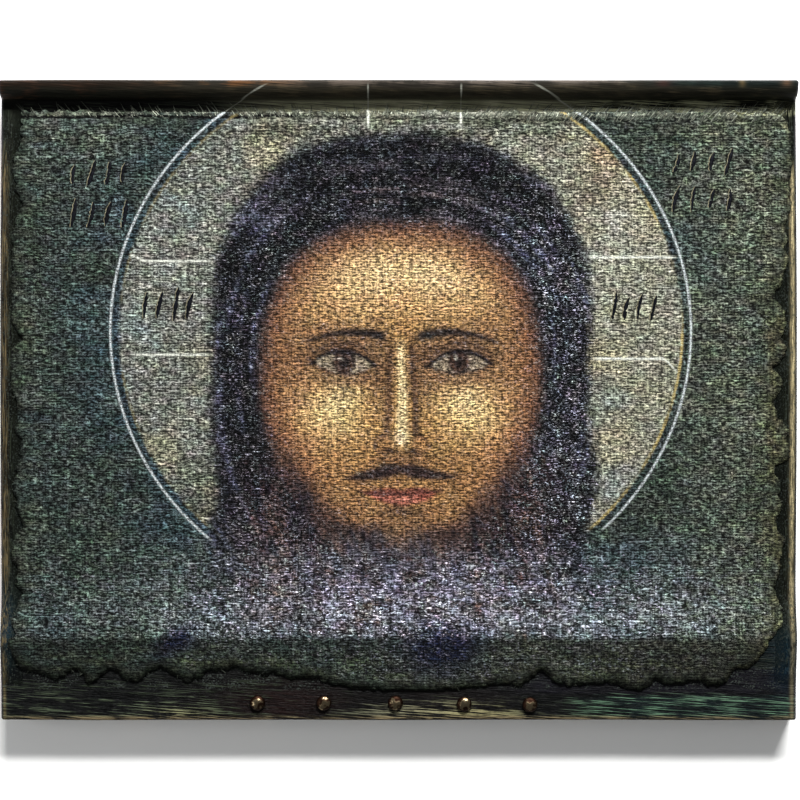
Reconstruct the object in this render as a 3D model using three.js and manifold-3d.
// Icon panel: a carved and painted wooden board with a rounded lip along its top edge and a low
// ridge near its foot, a sheet of coarse linen glued over the field between them, and five domed
// brass nails in the strip below the ridge.
//
// Millimetres. The panel lies on its back: +Z points out of the painted face, +Y towards the top
// of the picture and +X to the right of it. The origin is the centre of the back face.

import * as THREE from "three";
import { mergeVertices } from "three/addons/utils/BufferGeometryUtils.js";
import Module from "manifold-3d";

const wasm = await Module();
wasm.setup();

// The board's outer size, and its small cut edges.
const WIDTH = 300;
const HEIGHT = 241;
const SIDE_BEVEL = 1.2;
const CHAMFER = 1;

// Lines across the front of the board, measured up from its middle. The lip's crest is its top edge.
const LIP_RADIUS = 6.8;
const LIP_Y = HEIGHT / 2;
const VALLEY_TOP_Y = 108.1;
const VALLEY_LOW_Y = -68.9;
const RIDGE_Y = -88.9;

// Heights of the front above the back.
const LIP_CENTRE_Z = 17.4;
const VALLEY_Z = 15.5;
const PILLOW = 3.6;
const RIDGE_Z = 20.2;
const STRIP_Z = 16;

// How the ridge rises out of the valley and falls to the strip, and how softly faces meet.
const RIDGE_POWER = 1.8;
const RIDGE_FALL = Math.tan(THREE.MathUtils.degToRad(12.5));
const LIP_WALL = 5;
const LIP_COVE = 0.9;
const RIDGE_SOFTNESS = 0.5;

// The linen: its thickness with the ground on it, and the gap to the board.
const LINEN_THICKNESS = 1.2;
const LINEN_GAP = 0.3;

// The linen's torn outline, x and y: from the top left corner down the left side, along the foot
// with its scallops and its lost corner, and up the right side.
const LINEN_OUTLINE = [
  [-142.2, 109.2], [-142, 105.8], [-141.9, 100.5], [-142.9, 95.7], [-145.2, 91.5], [-145.6, 86.2],
  [-145.4, 83.2], [-143.3, 81.7], [-144.4, 80.2], [-142.9, 76.8], [-141.4, 73.8], [-142.9, 71.2],
  [-144.3, 68.9], [-144.6, 64.4], [-145.6, 58.8], [-145.4, 49.3], [-145.4, 39.2], [-145.6, 29.8],
  [-143.3, 25.6], [-141.4, 23], [-144.8, 20.7], [-145.6, 15.5], [-145.6, 4.2], [-144.4, 0.4],
  [-143.1, -3.4], [-143.7, -8.6], [-143.7, -12.4], [-141.4, -15], [-142.2, -17.7], [-142.7, -21.8],
  [-144.1, -26], [-145, -29.7], [-144.6, -36.1], [-143.5, -41], [-142.2, -44.8], [-141.4, -47.4],
  [-144.3, -49.7], [-145.9, -54.2], [-145.9, -59.8], [-144.1, -62.9], [-144.1, -66.2], [-144.9, -69.6],
  [-142, -72.3], [-142.9, -74.9], [-143.9, -78.3], [-145.6, -82.4], [-145.6, -85.1], [-143.3, -87.3],
  [-146.3, -90], [-146.5, -93], [-144.8, -96], [-144, -99], [-142, -100.3], [-139.2, -102],
  [-135.8, -102], [-133.1, -103.1], [-130.5, -105], [-128.3, -105.6], [-125.6, -103.9], [-123.4, -101.8],
  [-121.1, -101.6], [-118.8, -103.9], [-116.8, -106.1], [-114.3, -106.5], [-112.1, -103.9], [-110.2, -101.6],
  [-107.2, -101.3], [-104.9, -103.1], [-102.3, -105], [-99.3, -105.4], [-96.3, -104.3], [-93.6, -102],
  [-90.2, -100.1], [-87.6, -100.9], [-84.2, -103.5], [-80.8, -105], [-77.8, -105.4], [-74.8, -103.9],
  [-71, -101.6], [-66.9, -102], [-62.4, -100.1], [-57.8, -102], [-51.4, -102.8], [-46.2, -102.8],
  [-41.3, -104.6], [-36, -103.9], [-30.4, -104.6], [-25.8, -106.5], [-18.3, -108], [-8.9, -108.8],
  [2.4, -109.2], [13.7, -109.2], [25, -108.4], [32.5, -108], [38.2, -106.5], [43.8, -107.7],
  [46.8, -106.9], [50.2, -104.3], [54, -101.6], [57.4, -105], [60.7, -106.9], [72, -106.9],
  [76.6, -106.9], [81.5, -106.1], [86, -108], [90.9, -108.8], [93.9, -107.7], [96.9, -105.4],
  [102.2, -106.5], [108.2, -106.5], [113.5, -105.4], [117.2, -107.3], [121, -107.7], [123.6, -105.4],
  [125.5, -102], [128.9, -100.5], [133.4, -99.7], [136, -96.7], [137.6, -94.5], [139.4, -91.1],
  [142.4, -86.2], [144.5, -83.2], [144.7, -79], [143.8, -76], [142.3, -74.1], [141.7, -71.5],
  [142.3, -68.1], [143.6, -65.5], [144, -62.1], [144.7, -56.8], [145.5, -53.8], [144.7, -51.2],
  [142.4, -48.5], [142.1, -44.4], [144.3, -40.3], [144.7, -38.4], [142.6, -35.4], [143.6, -33.5],
  [142.4, -28.6], [141.3, -25.2], [144.7, -23.3], [147.2, -21.4], [147, -16.2], [145.3, -13.9],
  [146.8, -12.4], [147, -10.1], [144.3, -7.9], [142.1, -6], [142.1, -3.4], [140.6, -0.7],
  [142.4, 1.9], [144.7, 4.9], [143.6, 9.4], [140.6, 12.1], [143.6, 14.7], [145.5, 17],
  [145.5, 19.6], [143.6, 23], [145.5, 27.1], [145.8, 31.3], [145.1, 33.5], [142.8, 36.5],
  [140.6, 39.2], [143.6, 42.9], [145.1, 48.2], [147, 52], [144.7, 57.3], [146.6, 61],
  [145.5, 65.2], [147.5, 70.1], [147.3, 86.2], [148.1, 88.9], [148.1, 100.5], [146.6, 104.3],
  [144.3, 107.3], [140.9, 109.2],
];

// The nails: a row at one pitch, with the small errors of a hand that set them by eye.
const NAIL_PITCH = 25.7;
const NAIL_MIDDLE_X = -1.7;
const NAIL_Y = -113.8;
const NAIL_SHIFT = [-0.1, -0.8, 0.5, 0.7, -0.2];
const NAIL_DROP = [0, 0, 0, -0.4, -0.6];
const NAIL_HEAD_RADIUS = 2.85;
const NAIL_HEAD_HEIGHT = 1.9;
const NAIL_RIM = 0.35;
const SHANK_RADIUS = 0.75;
const SHANK_LENGTH = 11;
const SHANK_POINT = 1.6;
const HOLE_CLEARANCE = 0.3;
const HOLE_SPARE_DEPTH = 1;
const NAIL_SIDES = 16;

// The higher of two heights, with the corner between them filled over a length of about softness.
function softMax(a, b, softness) {
  return Math.max(a, b) + softness * Math.log1p(Math.exp(-Math.abs(a - b) / softness));
}

function softMin(a, b, softness) {
  return -softMax(-a, -b, softness);
}

// The lip as a quarter circle that falls away steeply past its lower end.
function lipHeight(y) {
  const below = LIP_Y - y;
  return below < LIP_RADIUS
    ? LIP_CENTRE_Z + Math.sqrt(LIP_RADIUS ** 2 - below ** 2)
    : LIP_CENTRE_Z - LIP_WALL * (below - LIP_RADIUS);
}

// The field: a low swell between the two valleys, which then climbs towards the ridge.
function fieldHeight(y) {
  if (y >= VALLEY_TOP_Y) return VALLEY_Z;
  if (y >= VALLEY_LOW_Y) {
    const share = (y - VALLEY_LOW_Y) / (VALLEY_TOP_Y - VALLEY_LOW_Y);
    return VALLEY_Z + PILLOW * Math.sin(Math.PI * share);
  }
  const climb = (VALLEY_LOW_Y - y) / (VALLEY_LOW_Y - RIDGE_Y);
  return VALLEY_Z + (RIDGE_Z - VALLEY_Z) * climb ** RIDGE_POWER;
}

// The front of the board, as a height above its back, at a distance y up from its middle.
function frontHeight(y) {
  const fall = RIDGE_Z - RIDGE_FALL * (RIDGE_Y - y);
  const foot = softMax(fall, STRIP_Z, RIDGE_SOFTNESS);
  const hollow = softMin(fieldHeight(y), foot, RIDGE_SOFTNESS);
  return softMax(hollow, lipHeight(y), LIP_COVE);
}

// Evenly spaced values from one end to the other, both included, about step apart.
function spaced(from, to, step) {
  const count = Math.max(1, Math.round(Math.abs(to - from) / step));
  return Array.from({ length: count + 1 }, (_, i) => THREE.MathUtils.lerp(from, to, i / count));
}

// Where the front is sampled, from the top edge down: by angle round the lip, and then closely
// where it bends and widely where it is nearly flat.
function frontStations(top, bottom) {
  const round = spaced(0, Math.PI / 2, Math.PI / 18).map((a) => LIP_Y - LIP_RADIUS * Math.sin(a));
  const cove = spaced(LIP_Y - LIP_RADIUS - 0.8, VALLEY_TOP_Y - 1, 0.8);
  const field = spaced(VALLEY_TOP_Y - 6, VALLEY_LOW_Y, 7);
  const climb = spaced(VALLEY_LOW_Y - 3, RIDGE_Y + 3, 2.8);
  const crest = spaced(RIDGE_Y + 1.5, RIDGE_Y - 4, 1.1);
  const fall = spaced(RIDGE_Y - 7, RIDGE_Y - 22, 2.5);
  const all = [...round, ...cove, ...field, ...climb, ...crest, ...fall];
  return [top, ...all.filter((y) => y < top - 0.6 && y > bottom + 0.5), bottom];
}

// Turns a shape drawn as (up, out) and extruded along its normal into the panel's own axes.
const LAY_DOWN = new THREE.Matrix4().makeBasis(
  new THREE.Vector3(0, 1, 0),
  new THREE.Vector3(0, 0, 1),
  new THREE.Vector3(1, 0, 0),
);

// A closed geometry as a solid that can be joined and cut.
function solidOf(geometry) {
  const bare = geometry.index ? geometry.toNonIndexed() : geometry.clone();
  bare.deleteAttribute("normal");
  bare.deleteAttribute("uv");
  const merged = mergeVertices(bare, 1e-4);
  const corners = merged.index.array;
  const kept = [];
  for (let i = 0; i < corners.length; i += 3) {
    const [a, b, c] = corners.slice(i, i + 3);
    if (a !== b && b !== c && c !== a) kept.push(a, b, c);
  }
  return new wasm.Manifold(
    new wasm.Mesh({
      numProp: 3,
      vertProperties: merged.attributes.position.array,
      triVerts: new Uint32Array(kept),
    }),
  );
}

// A solid back as a geometry with flat faces.
function geometryOf(solid) {
  const mesh = solid.getMesh();
  const geometry = new THREE.BufferGeometry();
  geometry.setAttribute("position", new THREE.BufferAttribute(mesh.vertProperties, 3));
  geometry.setIndex(new THREE.BufferAttribute(mesh.triVerts, 1));
  const flat = geometry.toNonIndexed();
  flat.computeVertexNormals();
  return flat;
}

// Places of the nails on the strip.
const NAILS = NAIL_SHIFT.map((shift, i) => ({
  x: NAIL_MIDDLE_X + (i - (NAIL_SHIFT.length - 1) / 2) * NAIL_PITCH + shift,
  y: NAIL_Y + NAIL_DROP[i],
}));

// One board, its section drawn once and run across the width, with a hole for each nail.
function boardGeometry() {
  const top = HEIGHT / 2;
  const bottom = -HEIGHT / 2;
  const section = new THREE.Shape();
  section.moveTo(bottom + CHAMFER, 0);
  section.lineTo(top - CHAMFER, 0);
  section.lineTo(top, CHAMFER);
  section.lineTo(top, LIP_CENTRE_Z + LIP_RADIUS - CHAMFER);
  for (const y of frontStations(top - CHAMFER, bottom + CHAMFER)) {
    section.lineTo(y, frontHeight(y));
  }
  section.lineTo(bottom, STRIP_Z - CHAMFER);
  section.lineTo(bottom, CHAMFER);
  section.closePath();
  const plank = new THREE.ExtrudeGeometry(section, {
    depth: WIDTH - 2 * SIDE_BEVEL,
    bevelThickness: SIDE_BEVEL,
    bevelSize: SIDE_BEVEL,
    bevelOffset: -SIDE_BEVEL,
    bevelSegments: 2,
  });
  plank.translate(0, 0, SIDE_BEVEL - WIDTH / 2);
  plank.applyMatrix4(LAY_DOWN);

  let board = solidOf(plank);
  const depth = SHANK_LENGTH + HOLE_SPARE_DEPTH;
  for (const { x, y } of NAILS) {
    const drill = new THREE.CylinderGeometry(
      SHANK_RADIUS + HOLE_CLEARANCE,
      SHANK_RADIUS + HOLE_CLEARANCE,
      2 * depth,
      NAIL_SIDES / 2,
    );
    drill.rotateX(Math.PI / 2);
    drill.translate(x, y, STRIP_Z);
    board = board.subtract(solidOf(drill));
  }
  return geometryOf(board);
}

// The linen: a thin layer that follows the front, cut to the torn outline.
function linenGeometry() {
  const outline = LINEN_OUTLINE.map(([x, y]) => new THREE.Vector2(x, y));
  const heights = outline.map((p) => p.y);
  const stations = frontStations(Math.max(...heights), Math.min(...heights) - 1);
  const layer = new THREE.Shape();
  const under = stations.map((y) => new THREE.Vector2(y, frontHeight(y) + LINEN_GAP));
  const over = under.map((p) => new THREE.Vector2(p.x, p.y + LINEN_THICKNESS));
  layer.setFromPoints([...under, ...over.reverse()]);
  const sheet = new THREE.ExtrudeGeometry(layer, { depth: WIDTH, bevelEnabled: false });
  sheet.translate(0, 0, -WIDTH / 2);
  sheet.applyMatrix4(LAY_DOWN);
  const cutter = new THREE.ExtrudeGeometry(new THREE.Shape(outline), {
    depth: 2 * RIDGE_Z,
    bevelEnabled: false,
  });
  return geometryOf(solidOf(sheet).intersect(solidOf(cutter)));
}

// A nail on its own axis, with the underside of its head at z 0.
function nailGeometry() {
  const dome = spaced(0, Math.PI / 2, Math.PI / 12).map(
    (a) =>
      new THREE.Vector2(
        NAIL_HEAD_RADIUS * Math.cos(a),
        NAIL_RIM + (NAIL_HEAD_HEIGHT - NAIL_RIM) * Math.sin(a),
      ),
  );
  dome[dome.length - 1].x = 0;
  const outline = [
    new THREE.Vector2(0, -SHANK_LENGTH),
    new THREE.Vector2(SHANK_RADIUS, SHANK_POINT - SHANK_LENGTH),
    new THREE.Vector2(SHANK_RADIUS, 0),
    new THREE.Vector2(NAIL_HEAD_RADIUS, 0),
    ...dome,
  ];
  return new THREE.LatheGeometry(outline, NAIL_SIDES).rotateX(Math.PI / 2);
}

const paintedWood = new THREE.MeshStandardMaterial({ color: 0x33382c, roughness: 0.55 });
const paintedLinen = new THREE.MeshStandardMaterial({ color: 0x4b5449, roughness: 0.6 });
const agedBrass = new THREE.MeshStandardMaterial({
  color: 0x8a6a3e,
  roughness: 0.35,
  metalness: 1,
});

function piece(name, geometry, material) {
  const mesh = new THREE.Mesh(geometry, material);
  mesh.name = name;
  return mesh;
}

const panel = new THREE.Group();
panel.name = "icon_panel";
panel.add(piece("board", boardGeometry(), paintedWood));
panel.add(piece("canvas", linenGeometry(), paintedLinen));
NAILS.forEach(({ x, y }, i) => {
  const nail = piece(`nail_${i + 1}`, nailGeometry(), agedBrass);
  nail.position.set(x, y, frontHeight(y) + HOLE_CLEARANCE);
  panel.add(nail);
});

export default panel;
